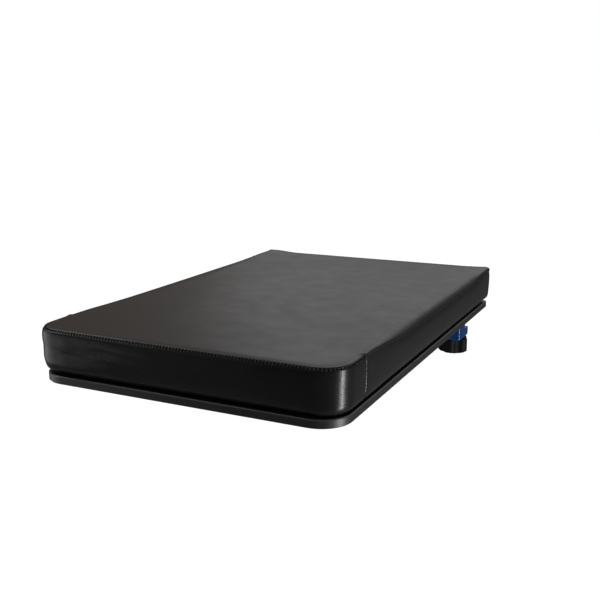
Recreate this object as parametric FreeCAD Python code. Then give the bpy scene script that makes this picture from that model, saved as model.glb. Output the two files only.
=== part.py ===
import FreeCAD, Part
import math
import os

# Hand surgery table: an upholstered pad on a black laminate board. Two stainless arms under the
# board end in clamps with star knobs, and the whole table hangs from the hooks of those clamps.
#
# X runs from clamp to clamp, Y points from the round front edge to the clamps, Z is up.
# The origin is on the seat under the clamps' hooks, midway between the clamps and in the middle
# of their throats. All sizes are millimetres.

# What the clamps are made to grip
rail_height = 25.0
rail_thickness = 10.0
rail_play = 0.3

# Pad: foam core in a sewn cover, narrower at its underside
pad_width = 405.0
pad_length = 604.0
pad_height = 53.0
pad_taper = 2.0
pad_front_radius = 42.0
pad_rear_radius = 8.0
pad_top_roll = 7.0
pad_bottom_roll = 7.0
pad_to_rail = 2.0
cover_thickness = 1.5
cover_ease = 0.1
front_band_return = 66.0
front_seam_drop = 3.0
side_seam_drop = 9.0

# Hook-and-loop strips between the pad and the board
strip_width = 50.0
strip_end_gap = 45.0
strip_side_gap = 55.0
hook_thickness = 1.2
loop_thickness = 1.3

# Board, a little smaller than the pad
board_side_inset = 6.0
board_front_inset = 4.0
board_thickness = 10.0
board_chamfer = 1.0

# Arms and crossbars, rectangular stainless tube
tube_width = 30.0
tube_height = 15.0
tube_wall = 2.0
tube_corner = 2.5
arm_front_gap = 82.0
crossbar_rear_gap = 70.0
plug_depth = 14.0
plug_flange = 2.0
plug_play = 0.1

# Board screws, washers and inserts
screw_diameter = 6.0
screw_hole_play = 0.3
screws_per_arm = 4
screw_end_gap = 50.0
insert_diameter = 9.0
insert_length = 8.0
thread_play = 0.03
screw_tip_gap = 1.0
head_diameter = 10.5
head_height = 3.3
socket_width = 4.0
socket_depth = 2.0
washer_diameter = 12.5
washer_thickness = 1.6

# Clamp blocks, in line with the arms
clamp_inset = 57.5
block_width = 40.0
hook_height = 5.5
lip_thickness = 4.5
lip_depth = 6.0
wall_depth = 32.7
jaw_thickness = 14.0
jaw_rear_wall = 4.0
block_round = 4.0
throat_round = 1.5
block_chamfer = 0.6
arm_socket_depth = 26.0
arm_socket_play = 0.1
block_bolt_pitch = 13.0
nut_width = 10.0
nut_height = 5.0

# Clamping spindle and its foot
foot_travel = 7.5
foot_diameter = 19.0
foot_height = 5.0
foot_pocket_play = 0.5
foot_floor_gap = 0.4
foot_land_height = 1.0
foot_chamfer = 0.8
tip_diameter = 8.0
tip_depth = 3.2
foot_pin_diameter = 2.0
foot_pin_inset = 1.0
running_play = 0.05
spindle_diameter = 12.0
spindle_end_diameter = 10.0
bush_diameter = 17.0
bush_flange = 1.6

# Star knob
knob_gap = 3.5
knob_height = 23.0
knob_diameter = 50.0
lobe_count = 5
first_lobe_turn = -18.0
lobe_radius = 8.5
valley_radius = 9.0
knob_top_round = 3.0
knob_bottom_round = 6.0
knob_bush_diameter = 17.0
knob_bush_length = 12.0
knob_nut_width = 15.0
knob_nut_height = 4.0
knob_cap_diameter = 23.0
knob_cap_thickness = 2.0
knob_cap_proud = 0.8
knob_cap_play = 0.1

# Zip in the pad's rear band
zip_end_gap = 37.5
zip_tape_width = 22.0
zip_tape_thickness = 0.7
zip_chain_width = 5.0
zip_chain_thickness = 2.2
slider_length = 12.0
slider_width = 9.0
slider_thickness = 4.6
slider_wall = 0.9
pull_length = 24.0
pull_width = 7.0
pull_thickness = 1.2

# Levels, from the hooks' seat upwards
board_bottom = hook_height
board_top = board_bottom + board_thickness
hook_top = board_top + hook_thickness
pad_bottom = hook_top + loop_thickness
pad_top = pad_bottom + pad_height

# Levels, from the hooks' seat downwards
arm_bottom = board_bottom - tube_height
foot_top = -rail_height
foot_bottom = foot_top - foot_height
jaw_top = foot_top - foot_travel
jaw_bottom = jaw_top - jaw_thickness
pocket_floor = foot_bottom - foot_travel - foot_floor_gap - bush_flange
knob_top = jaw_bottom - knob_gap
knob_bottom = knob_top - knob_height

# Places along Y
wall_inner = -(rail_thickness / 2 + rail_play)
block_front = wall_inner - wall_depth
lip_inner = rail_thickness / 2 + rail_play
lip_outer = lip_inner + lip_thickness
pocket_radius = foot_diameter / 2 + foot_pocket_play
jaw_rear = pocket_radius + jaw_rear_wall
pad_rear = rail_thickness / 2 + pad_to_rail
pad_front = pad_rear - pad_length
board_rear = pad_rear
board_front = pad_front + board_front_inset
arm_front = board_front + arm_front_gap
arm_rear = block_front + arm_socket_depth

# Places along X
board_half = pad_width / 2 - board_side_inset
zip_half = pad_width / 2 - zip_end_gap
clamp_x = pad_width / 2 - clamp_inset
sides = {"left": -1, "right": 1}


def vec(x, y, z):
    return FreeCAD.Vector(x, y, z)


def box(x0, x1, y0, y1, z0, z1):
    return Part.makeBox(x1 - x0, y1 - y0, z1 - z0, vec(x0, y0, z0))


def post(radius, z0, z1, x=0.0, y=0.0):
    return Part.makeCylinder(radius, z1 - z0, vec(x, y, z0))


def cross_pin(radius, x0, x1, y, z):
    return Part.makeCylinder(radius, x1 - x0, vec(x0, y, z), vec(1, 0, 0))


def rounded_face(corners):
    """A flat face from (point, radius) corners, each corner rounded by a tangent arc."""
    ends = []
    for i, (point, radius) in enumerate(corners):
        before = (corners[i - 1][0] - point).normalize()
        after = (corners[(i + 1) % len(corners)][0] - point).normalize()
        if radius <= 0:
            ends.append((point, None, point))
            continue
        half = before.getAngle(after) / 2
        reach = radius / math.tan(half)
        middle = (before + after).normalize()
        centre = point + middle * (radius / math.sin(half))
        ends.append((point + before * reach, centre - middle * radius, point + after * reach))
    edges = []
    for i, (start, middle, end) in enumerate(ends):
        if middle is not None:
            edges.append(Part.Arc(start, middle, end).toShape())
        edges.append(Part.LineSegment(end, ends[(i + 1) % len(ends)][0]).toShape())
    return Part.Face(Part.Wire(edges))


def slab_face(half_width, y_front, y_rear, front_radius, rear_radius, z):
    """Plan outline of the pad and the board: large round front corners, small rear ones."""
    return rounded_face([
        (vec(-half_width, y_front, z), front_radius),
        (vec(half_width, y_front, z), front_radius),
        (vec(half_width, y_rear, z), rear_radius),
        (vec(-half_width, y_rear, z), rear_radius),
    ])


def hexagon(width, z0, z1, x=0.0, y=0.0):
    """Hexagonal prism, measured across its flats."""
    reach = width / math.sqrt(3)
    corners = [
        (vec(x + reach * math.cos(math.radians(60 * i)), y + reach * math.sin(math.radians(60 * i)), z0), 0)
        for i in range(6)
    ]
    return rounded_face(corners).extrude(vec(0, 0, z1 - z0))


def turned_to_x(shape, outwards):
    """Turn a piece made along -Z so that its head faces +X or -X."""
    shape.rotate(vec(0, 0, 0), vec(0, 1, 0), -90 * outwards)
    return shape


def button_screw(length):
    """Button-head screw pointing up from z = 0, with its head below and a hexagon socket."""
    rim = head_diameter / 2
    profile = Part.Wire([
        Part.LineSegment(vec(0, 0, 0), vec(rim, 0, 0)).toShape(),
        Part.Arc(
            vec(rim, 0, 0),
            vec(rim * 0.84, 0, -head_height * 0.66),
            vec(rim * 0.5, 0, -head_height),
        ).toShape(),
        Part.LineSegment(vec(rim * 0.5, 0, -head_height), vec(0, 0, -head_height)).toShape(),
        Part.LineSegment(vec(0, 0, -head_height), vec(0, 0, 0)).toShape(),
    ])
    head = Part.Face(profile).revolve(vec(0, 0, 0), vec(0, 0, 1), 360)
    head = head.cut(hexagon(socket_width, -head_height, -head_height + socket_depth))
    return head.fuse(post(screw_diameter / 2, 0, length)).removeSplitter()


def placed(shape, x, y, z):
    copy = shape.copy()
    copy.translate(vec(x, y, z))
    return copy


def ring(outer, inner, z0, z1, x=0.0, y=0.0):
    return post(outer, z0, z1, x, y).cut(post(inner, z0, z1, x, y))


def group(shapes):
    return Part.makeCompound(shapes)


def screw_places():
    """Board screws stand in a row along each arm."""
    first = block_front - screw_end_gap / 2
    last = arm_front + screw_end_gap / 2
    step = (last - first) / (screws_per_arm - 1)
    return [(side * clamp_x, first + i * step) for side in sides.values() for i in range(screws_per_arm)]


def bolt_places():
    """Cross bolts hold each arm in its clamp block: places in Y."""
    middle = (block_front + arm_rear) / 2
    return [middle - block_bolt_pitch / 2, middle + block_bolt_pitch / 2]


bolt_level = (board_bottom + arm_bottom) / 2


def make_board():
    outline = slab_face(
        board_half, board_front, board_rear,
        pad_front_radius - board_side_inset, pad_rear_radius, board_bottom,
    )
    board = outline.extrude(vec(0, 0, board_thickness))
    rims = [e for e in board.Edges if abs(e.BoundBox.ZLength) < 0.01]
    board = board.makeChamfer(board_chamfer, rims)
    for x, y in screw_places():
        board = board.cut(post(insert_diameter / 2, board_bottom, board_bottom + insert_length, x, y))
    return board


def make_inserts():
    bore = screw_diameter / 2 + thread_play
    return group([
        ring(insert_diameter / 2, bore, board_bottom, board_bottom + insert_length, x, y)
        for x, y in screw_places()
    ])


def tube_section(inset, along_y, start, middle):
    """Rounded rectangle across a tube, flush with the board's underside when inset is zero."""
    low = arm_bottom + inset
    high = board_bottom - inset
    half = tube_width / 2 - inset
    radius = tube_corner - inset / 2
    spots = [(-half, low), (half, low), (half, high), (-half, high)]
    if along_y:
        return rounded_face([(vec(middle + a, start, z), radius) for a, z in spots])
    return rounded_face([(vec(start, middle + a, z), radius) for a, z in spots])


def tube(along_y, start, end, middle):
    way = vec(0, end - start, 0) if along_y else vec(end - start, 0, 0)
    outside = tube_section(0, along_y, start, middle).extrude(way)
    return outside.cut(tube_section(tube_wall, along_y, start, middle).extrude(way))


def make_arm(side):
    arm = tube(True, arm_front, arm_rear, side * clamp_x)
    hole = screw_diameter / 2 + screw_hole_play
    for x, y in screw_places():
        if x * side > 0:
            arm = arm.cut(post(hole, arm_bottom, board_bottom, x, y))
    reach = tube_width / 2
    for y in bolt_places():
        arm = arm.cut(cross_pin(hole, side * clamp_x - reach, side * clamp_x + reach, y, bolt_level))
    return arm


def make_crossbar(middle):
    end = clamp_x - tube_width / 2
    return tube(False, -end, end, middle)


def make_plugs():
    plugs = []
    for side in sides.values():
        middle = side * clamp_x
        flange = tube_section(0, True, arm_front - plug_flange, middle).extrude(vec(0, plug_flange, 0))
        stem = tube_section(tube_wall + plug_play, True, arm_front, middle).extrude(vec(0, plug_depth, 0))
        face = [e for e in flange.Edges if e.BoundBox.YMax < arm_front - plug_flange + 0.01]
        plugs.append(flange.makeChamfer(plug_flange / 3, face).fuse(stem).removeSplitter())
    return group(plugs)


def make_board_screws():
    grip = washer_thickness + tube_height + insert_length - screw_tip_gap
    screw = button_screw(grip)
    return group([placed(screw, x, y, arm_bottom - washer_thickness) for x, y in screw_places()])


def make_board_washers():
    bore = screw_diameter / 2 + thread_play
    return group([
        ring(washer_diameter / 2, bore, arm_bottom - washer_thickness, arm_bottom, x, y)
        for x, y in screw_places()
    ])


def make_block(side):
    """C-shaped clamp block: hook and lip above its throat, jaw with the spindle below it."""
    profile = rounded_face([
        (vec(0, block_front, board_bottom), 0),
        (vec(0, lip_outer, board_bottom), throat_round),
        (vec(0, lip_outer, -lip_depth), throat_round),
        (vec(0, lip_inner, -lip_depth), throat_round / 2),
        (vec(0, lip_inner, 0), throat_round / 2),
        (vec(0, wall_inner, 0), throat_round / 2),
        (vec(0, wall_inner, jaw_top), throat_round),
        (vec(0, jaw_rear, jaw_top), throat_round),
        (vec(0, jaw_rear, jaw_bottom), block_round),
        (vec(0, block_front, jaw_bottom), block_round),
    ])
    middle = side * clamp_x
    profile.translate(vec(middle - block_width / 2, 0, 0))
    block = profile.extrude(vec(block_width, 0, 0))
    flanks = [e for e in block.Edges if e.BoundBox.XLength < 0.01]
    block = block.makeChamfer(block_chamfer, flanks)
    half = tube_width / 2 + arm_socket_play
    block = block.cut(box(
        middle - half, middle + half, block_front, arm_rear + arm_socket_play,
        arm_bottom - arm_socket_play, board_bottom,
    ))
    hole = screw_diameter / 2 + screw_hole_play
    for y in bolt_places():
        block = block.cut(cross_pin(hole, middle - block_width / 2, middle + block_width / 2, y, bolt_level))
    pocket_ceiling = foot_top - foot_land_height + foot_pocket_play
    block = block.cut(post(pocket_radius, pocket_floor, pocket_ceiling, middle))
    return block.cut(post(bush_diameter / 2, jaw_bottom, pocket_floor, middle))


def make_block_bolts():
    """Bolts along X with their heads on the outer faces of the two blocks."""
    bolts = []
    for side in sides.values():
        bolt = turned_to_x(button_screw(block_width + nut_height), side)
        for y in bolt_places():
            bolts.append(placed(bolt, side * (clamp_x + block_width / 2), y, bolt_level))
    return group(bolts)


def make_block_nuts():
    bore = screw_diameter / 2 + thread_play
    nuts = []
    for side in sides.values():
        nut = hexagon(nut_width, 0, nut_height).cut(post(bore, 0, nut_height))
        nut = turned_to_x(nut, side)
        for y in bolt_places():
            nuts.append(placed(nut, side * (clamp_x - block_width / 2), y, bolt_level))
    return group(nuts)


def make_spindle_bushes():
    bore = spindle_diameter / 2 + running_play
    flange_radius = pocket_radius - foot_pocket_play
    bushes = []
    for side in sides.values():
        x = side * clamp_x
        shell = post(bush_diameter / 2, jaw_bottom, pocket_floor, x)
        shell = shell.fuse(post(flange_radius, pocket_floor, pocket_floor + bush_flange, x))
        bushes.append(shell.cut(post(bore, jaw_bottom, pocket_floor + bush_flange, x)).removeSplitter())
    return group(bushes)


foot_pin_level = foot_bottom + tip_depth / 2


def foot_pins(side, radius, half_length):
    """Two pins lie across the foot, one each side of the spindle's grooved tip."""
    pins = []
    for way in (-1, 1):
        start = vec(side * clamp_x + way * tip_diameter / 2, -half_length, foot_pin_level)
        pins.append(Part.makeCylinder(radius, 2 * half_length, start, vec(0, 1, 0)))
    return pins


def make_foot(side):
    """Foot with a raised land, as wide as what it presses on."""
    x = side * clamp_x
    shoulder = foot_top - foot_land_height
    foot = post(foot_diameter / 2, foot_bottom, shoulder, x)
    foot = foot.makeChamfer(foot_chamfer, [e for e in foot.Edges if e.BoundBox.ZMin > shoulder - 0.01])
    foot = foot.fuse(post(rail_thickness / 2, foot_bottom, foot_top, x)).removeSplitter()
    foot = foot.cut(post(tip_diameter / 2 + running_play, foot_bottom, foot_bottom + tip_depth + running_play, x))
    for pin in foot_pins(side, foot_pin_diameter / 2 + thread_play, foot_diameter):
        foot = foot.cut(pin)
    return foot


def make_foot_pins(side):
    chord = math.sqrt((foot_diameter / 2) ** 2 - (tip_diameter / 2) ** 2)
    return group(foot_pins(side, foot_pin_diameter / 2, chord - foot_pin_inset))


def make_spindle(side):
    """Turned spindle: grooved tip in the foot, thread through the bush, reduced end in the knob."""
    x = side * clamp_x
    shoulder = foot_bottom - running_play
    end = knob_bottom + knob_cap_thickness
    spindle = post(spindle_diameter / 2, knob_top, shoulder, x)
    spindle = spindle.fuse(post(tip_diameter / 2, shoulder, foot_bottom + tip_depth, x))
    spindle = spindle.fuse(post(spindle_end_diameter / 2, end, knob_top, x)).removeSplitter()
    floor = tip_diameter / 2 - foot_pin_diameter / 2 - running_play
    half = foot_pin_diameter / 2 + running_play
    return spindle.cut(ring(tip_diameter / 2, floor, foot_pin_level - half, foot_pin_level + half, x))


def star_face(z):
    """Star outline of round lobes and round valleys, each tangent to the next."""
    lobe_centre = knob_diameter / 2 - lobe_radius
    half_step = math.pi / lobe_count
    reach = lobe_radius + valley_radius
    along = lobe_centre * math.cos(half_step)
    valley_centre = along + math.sqrt(reach ** 2 - (lobe_centre * math.sin(half_step)) ** 2)

    def spot(radius, angle):
        return vec(radius * math.cos(angle), radius * math.sin(angle), z)

    edges = []
    for i in range(lobe_count):
        turn = math.radians(first_lobe_turn) + 2 * i * half_step
        lobe = spot(lobe_centre, turn)
        before = spot(valley_centre, turn - half_step)
        after = spot(valley_centre, turn + half_step)
        following = spot(lobe_centre, turn + 2 * half_step)
        share = lobe_radius / reach
        start = lobe + (before - lobe) * share
        end = lobe + (after - lobe) * share
        next_start = following + (after - following) * share
        edges.append(Part.Arc(start, spot(knob_diameter / 2, turn), end).toShape())
        edges.append(Part.Arc(end, spot(valley_centre - valley_radius, turn + half_step), next_start).toShape())
    return Part.Face(Part.Wire(edges))


def make_knob(side):
    """Moulded star knob: the star, rounded off by a turned envelope, with its bores."""
    star = star_face(knob_bottom).extrude(vec(0, 0, knob_height))
    radius = knob_diameter / 2
    envelope = rounded_face([
        (vec(0, 0, knob_bottom), 0),
        (vec(radius, 0, knob_bottom), knob_bottom_round),
        (vec(radius, 0, knob_top), knob_top_round),
        (vec(0, 0, knob_top), 0),
    ]).revolve(vec(0, 0, 0), vec(0, 0, 1), 360)
    knob = star.common(envelope)
    bush_bottom = knob_top - knob_bush_length
    knob = knob.cut(post(knob_bush_diameter / 2, bush_bottom, knob_top))
    knob = knob.cut(post(knob_cap_diameter / 2, knob_bottom, bush_bottom))
    return placed(knob, side * clamp_x, 0, 0)


def make_knob_bush(side):
    return ring(
        knob_bush_diameter / 2, spindle_end_diameter / 2 + thread_play,
        knob_top - knob_bush_length, knob_top, side * clamp_x,
    )


def make_knob_nut(side):
    x = side * clamp_x
    high = knob_top - knob_bush_length
    low = high - knob_nut_height
    return hexagon(knob_nut_width, low, high, x).cut(post(spindle_end_diameter / 2 + thread_play, low, high, x))


def make_knob_cap(side):
    radius = knob_cap_diameter / 2 - knob_cap_play
    cap = post(radius, knob_bottom - knob_cap_proud, knob_bottom + knob_cap_thickness, side * clamp_x)
    rim = [e for e in cap.Edges if e.BoundBox.ZMax < knob_bottom]
    return cap.makeFillet(knob_cap_proud, rim)


def make_strips(z, thickness):
    """Two strips along the table, in the same place on the board and under the pad."""
    strips = []
    for side in sides.values():
        outer = side * (board_half - strip_side_gap)
        inner = outer - side * strip_width
        strips.append(box(
            min(outer, inner), max(outer, inner),
            board_front + strip_end_gap, board_rear - strip_end_gap, z, z + thickness,
        ))
    return group(strips)


def pad_solid(wall):
    """The pad's form, inset by wall on every side: narrower below, rolled over at both edges."""
    def outline(taper, z):
        inset = taper + wall
        return slab_face(
            pad_width / 2 - inset, pad_front + inset, pad_rear - wall,
            pad_front_radius - wall, pad_rear_radius - wall, z,
        ).OuterWire

    low = outline(pad_taper, pad_bottom + wall)
    high = outline(0, pad_top - wall)
    solid = Part.makeLoft([low, high], True, True)
    top_rim = [e for e in solid.Edges if e.BoundBox.ZMin > pad_top - wall - 0.01]
    solid = solid.makeFillet(pad_top_roll - wall, top_rim)
    bottom_rim = [e for e in solid.Edges if e.BoundBox.ZMax < pad_bottom + wall + 0.01]
    return solid.makeFillet(pad_bottom_roll - wall, bottom_rim)


def make_pad():
    """Foam core and the sewn panels of its cover, as named shapes."""
    outside = pad_solid(0)
    inside = pad_solid(cover_thickness)
    core = pad_solid(cover_thickness + cover_ease)
    skin = outside.cut(inside)
    reach = pad_width
    floor_level = pad_bottom + cover_thickness
    front_seam = pad_front + front_band_return
    below = box(-reach, reach, pad_front - 1, pad_rear + 1, pad_bottom - 1, floor_level)
    above = box(-reach, reach, pad_front - 1, front_seam, pad_top - front_seam_drop, pad_top + 1)
    above = above.fuse(box(-reach, reach, front_seam, pad_rear + 1, pad_top - side_seam_drop, pad_top + 1))
    middle = skin.cut(below).cut(above)
    front = box(-reach, reach, pad_front - 1, front_seam, pad_bottom - 1, pad_top + 1)
    window = box(
        -zip_half, zip_half, pad_rear - 2 * cover_thickness, pad_rear + 1,
        zip_level - zip_tape_width / 2, zip_level + zip_tape_width / 2,
    )
    return {
        "foam_core": core,
        "cover_bottom_panel": skin.common(below),
        "cover_top_panel": skin.common(above),
        "cover_front_band": middle.common(front),
        "cover_side_band": middle.cut(front).cut(window),
    }


zip_level = (pad_bottom + pad_top - side_seam_drop) / 2
zip_tape_face = pad_rear - cover_thickness + zip_tape_thickness
zip_chain_face = zip_tape_face + zip_chain_thickness
slider_rest = zip_half - slider_length


def make_zip_tape():
    half = zip_tape_width / 2
    return box(
        -zip_half, zip_half, pad_rear - cover_thickness, zip_tape_face,
        zip_level - half, zip_level + half,
    )


def make_zip_chain():
    half = zip_chain_width / 2
    return box(
        -zip_half, zip_half, zip_tape_face, zip_chain_face,
        zip_level - half, zip_level + half,
    )


def make_zip_slider():
    """Slider that straddles the chain, with its pull hanging from a small bridge."""
    start = slider_rest - slider_length / 2
    end = slider_rest + slider_length / 2
    half = slider_width / 2
    back = zip_tape_face + running_play
    front = back + slider_thickness
    body = rounded_face([
        (vec(start, back, zip_level - half), slider_wall),
        (vec(end, back, zip_level - half), slider_wall),
        (vec(end, back, zip_level + half), slider_wall),
        (vec(start, back, zip_level + half), slider_wall),
    ]).extrude(vec(0, slider_thickness, 0))
    channel = zip_chain_width / 2 + 2 * running_play
    body = body.cut(box(
        start, end, back, zip_chain_face + 2 * running_play, zip_level - channel, zip_level + channel,
    ))
    pull = rounded_face([
        (vec(slider_rest - pull_width / 2, front, zip_level - pull_length), pull_width / 3),
        (vec(slider_rest + pull_width / 2, front, zip_level - pull_length), pull_width / 3),
        (vec(slider_rest + pull_width / 2, front, zip_level), pull_width / 4),
        (vec(slider_rest - pull_width / 2, front, zip_level), pull_width / 4),
    ]).extrude(vec(0, pull_thickness, 0))
    return body.fuse(pull).removeSplitter()


pieces = {
    "board": make_board(),
    "board_inserts": make_inserts(),
    "front_crossbar": make_crossbar(arm_front + tube_width / 2),
    "rear_crossbar": make_crossbar(block_front - crossbar_rear_gap),
    "arm_end_plugs": make_plugs(),
    "board_screws": make_board_screws(),
    "board_washers": make_board_washers(),
    "block_bolts": make_block_bolts(),
    "block_nuts": make_block_nuts(),
    "spindle_bushes": make_spindle_bushes(),
    "hook_strips": make_strips(board_top, hook_thickness),
    "loop_strips": make_strips(hook_top, loop_thickness),
    "zip_tape": make_zip_tape(),
    "zip_chain": make_zip_chain(),
    "zip_slider": make_zip_slider(),
}
pieces.update(make_pad())
for name, side in sides.items():
    pieces["arm_" + name] = make_arm(side)
    pieces["clamp_block_" + name] = make_block(side)
    pieces["pressure_foot_" + name] = make_foot(side)
    pieces["foot_pins_" + name] = make_foot_pins(side)
    pieces["spindle_" + name] = make_spindle(side)
    pieces["star_knob_" + name] = make_knob(side)
    pieces["knob_bush_" + name] = make_knob_bush(side)
    pieces["knob_nut_" + name] = make_knob_nut(side)
    pieces["knob_cap_" + name] = make_knob_cap(side)

os.makedirs("parts", exist_ok=True)
for name, shape in pieces.items():
    shape.exportStep("parts/" + name + ".step")
    print(name, len(shape.Solids), shape.isValid(), round(shape.Volume))
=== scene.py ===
import math
import bpy
import numpy as np
from mathutils import Matrix, Vector, noise


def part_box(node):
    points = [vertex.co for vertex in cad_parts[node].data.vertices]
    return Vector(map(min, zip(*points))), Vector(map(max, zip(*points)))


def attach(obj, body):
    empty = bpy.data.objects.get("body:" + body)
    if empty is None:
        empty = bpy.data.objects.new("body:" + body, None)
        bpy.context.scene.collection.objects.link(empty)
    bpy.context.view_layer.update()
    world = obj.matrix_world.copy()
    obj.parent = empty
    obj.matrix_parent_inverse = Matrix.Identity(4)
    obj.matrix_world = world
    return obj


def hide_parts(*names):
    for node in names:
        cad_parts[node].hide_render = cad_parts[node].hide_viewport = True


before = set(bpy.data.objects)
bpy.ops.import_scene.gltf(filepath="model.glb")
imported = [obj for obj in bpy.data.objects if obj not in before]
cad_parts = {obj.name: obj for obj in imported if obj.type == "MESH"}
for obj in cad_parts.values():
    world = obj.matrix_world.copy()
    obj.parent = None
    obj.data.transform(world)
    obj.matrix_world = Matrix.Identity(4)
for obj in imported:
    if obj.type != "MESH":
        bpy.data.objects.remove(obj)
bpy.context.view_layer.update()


# Board of black compact laminate, sawn to shape, its rims chamfered. The chamfers carry a painted highlight:
# they are coloured lighter grey for the light they catch.
# Its faces have the fine pearl texture of the press plate, its sawn edge is polished smoother.

class Wire:
    """One socket of a material. Sums and products of wires add Math nodes."""

    def __init__(self, tree, socket=None):
        self.tree = tree
        self.socket = socket

    def node(self, kind, settings=(), inputs=(), out=0):
        """Add a node: its settings first, then the values or links of its sockets."""
        made = self.tree.nodes.new("ShaderNode" + kind)
        for name, value in dict(settings).items():
            setattr(made, name, value)
        for name, value in dict(inputs).items():
            if isinstance(value, Wire):
                self.tree.links.new(value.socket, made.inputs[name])
            else:
                made.inputs[name].default_value = value
        return Wire(self.tree, made.outputs[out])

    def maths(self, operation, first, second=0.0):
        return self.node("Math", {"operation": operation}, {0: first, 1: second})

    def __add__(self, other):
        return self.maths("ADD", self, other)

    def __sub__(self, other):
        return self.maths("SUBTRACT", self, other)

    def __rsub__(self, other):
        return self.maths("SUBTRACT", other, self)

    def __mul__(self, other):
        return self.maths("MULTIPLY", self, other)

    __radd__ = __add__
    __rmul__ = __mul__


def finish(name, **constants):
    """A material with one Principled shader: its constants, a wire to build on and its sockets."""
    material = bpy.data.materials.new(name)
    material.use_nodes = True
    tree = material.node_tree
    sockets = tree.nodes["Principled BSDF"].inputs
    for socket, value in constants.items():
        sockets[socket.replace("_", " ")].default_value = value
    return material, Wire(tree), sockets


def lead(wire, socket):
    wire.tree.links.new(wire.socket, socket)


def place(wire, stretch=(1.0, 1.0, 1.0)):
    """Place on the object in metres, stretched for grain that runs one way."""
    spot = wire.node("TexCoord", out="Object")
    return wire.node("Mapping", (), {"Vector": spot, "Scale": stretch})


def cloud(wire, spot, scale, detail=3.0, roughness=0.55):
    return wire.node(
        "TexNoise", (),
        {"Vector": spot, "Scale": scale, "Detail": detail, "Roughness": roughness},
    )


def step(wire, value, low, high, start=0.0, end=1.0):
    """Straight ramp from start to end as the value goes from low to high, held outside."""
    return wire.node(
        "MapRange", {"clamp": True},
        {"Value": value, "From Min": low, "From Max": high, "To Min": start, "To Max": end},
    )


def blend(wire, share, first, second):
    return wire.node("Mix", {"data_type": "RGBA"}, {0: share, 6: first, 7: second}, out=2)


def bump(wire, height, distance, strength):
    return wire.node("Bump", (), {"Height": height, "Distance": distance, "Strength": strength})


def grey(tone, blue=1.0):
    """Opaque neutral colour, a little bluer where asked."""
    return (tone, tone, tone * blue, 1.0)


def shade(colour, share):
    """Opaque colour at a share of its brightness."""
    return (*(min(1.0, share * c) for c in colour[:3]), 1.0)


def upright_share(wire):
    """How far the surface faces straight up or down, from 0 to 1."""
    parts = wire.node("SeparateXYZ", (), {0: wire.node("NewGeometry", out="Normal")}, out="Z")
    return wire.maths("ABSOLUTE", parts)


def dress(node, material):
    """Give a CAD node its material."""
    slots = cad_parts[node].data.materials
    slots.clear()
    slots.append(material)


def laminate_finish():
    material, wire, sockets = finish("laminate_black", Specular_IOR_Level=0.42)
    face_black = grey(0.010, 1.1)
    edge_black = grey(0.013, 1.077)
    # Painted highlight: the chamfers are coloured this lighter grey for the light they catch.
    chamfer_highlight_grey = grey(0.050, 1.06)
    scuff_grey = grey(0.060, 1.033)
    scuff_share = 0.35
    spot = place(wire)
    scuffs = cloud(wire, place(wire, (1.0, 0.25, 1.0)), 140.0, 5.0, 0.7)
    clouds = cloud(wire, spot, 14.0)
    pearl = cloud(wire, spot, 900.0, 2.0)
    level = upright_share(wire)
    face = step(wire, level, 0.85, 0.97)
    # Where the chamfers are, which get the painted highlight.
    chamfer_highlight = step(wire, level, 0.25, 0.45) * (1.0 - face)
    base = blend(wire, face, edge_black, face_black)
    # Black base with the painted highlight laid on the chamfers.
    varied = blend(wire, chamfer_highlight, base, chamfer_highlight_grey)
    marks = step(wire, scuffs, 0.60, 0.74) * scuff_share
    lead(blend(wire, marks, varied, scuff_grey), sockets["Base Color"])
    lead(step(wire, clouds, 0.3, 0.7, 0.36, 0.47) + marks * 0.2, sockets["Roughness"])
    lead(bump(wire, pearl, 0.00008, 0.6), sockets["Normal"])
    return material


dress("board", laminate_finish())


# Hook strips stuck to the board and loop strips sewn under the pad, black nylon tape 50 mm wide.
# The hook side is a field of small moulded studs on a backing, the loop side a brushed knit.

strip_width = 0.050
hook_pitch = 0.0027
stud_radius = 0.00045
stud_sides = 5
stud_room = 0.0001
backing = 0.0005
tuft_height = 0.0005
tuft_scale = 420.0


def weave_finish(name, colour, scale, depth):
    material, wire, sockets = finish(name, Specular_IOR_Level=0.35, Sheen_Weight=0.25)
    spot = place(wire)
    fibres = cloud(wire, spot, scale, 4.0, 0.7)
    tufts = cloud(wire, spot, scale / 6.0, 2.0)
    tone = blend(wire, step(wire, fibres, 0.35, 0.7), shade(colour, 0.55), colour)
    lead(tone, sockets["Base Color"])
    lead(step(wire, tufts, 0.3, 0.7, 0.78, 0.95), sockets["Roughness"])
    lead(bump(wire, fibres + tufts * 0.5, depth, 0.9), sockets["Normal"])
    return material


def add_mesh(name, points, faces, material, body, slot, smooth=True):
    """A new piece from points and faces, carried by a body and finished with the given material. The slot is
    not used.
    """
    mesh = bpy.data.meshes.new(name)
    mesh.from_pydata([tuple(p) for p in points], [], [tuple(f) for f in faces])
    mesh.validate()
    mesh.update()
    piece = bpy.data.objects.new(name, mesh)
    bpy.context.scene.collection.objects.link(piece)
    mesh.polygons.foreach_set("use_smooth", [smooth] * len(mesh.polygons))
    mesh.materials.append(material)
    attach(piece, body)
    return piece


def join_copies(unit_points, unit_faces, frames):
    """Copies of one small shape: each frame is a 3 by 3 turn and a place."""
    points = []
    faces = []
    for turn, spot in frames:
        start = len(points)
        points.extend(unit_points @ np.asarray(turn).T + np.asarray(spot))
        faces.extend([[start + i for i in face] for face in unit_faces])
    return points, faces


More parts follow.
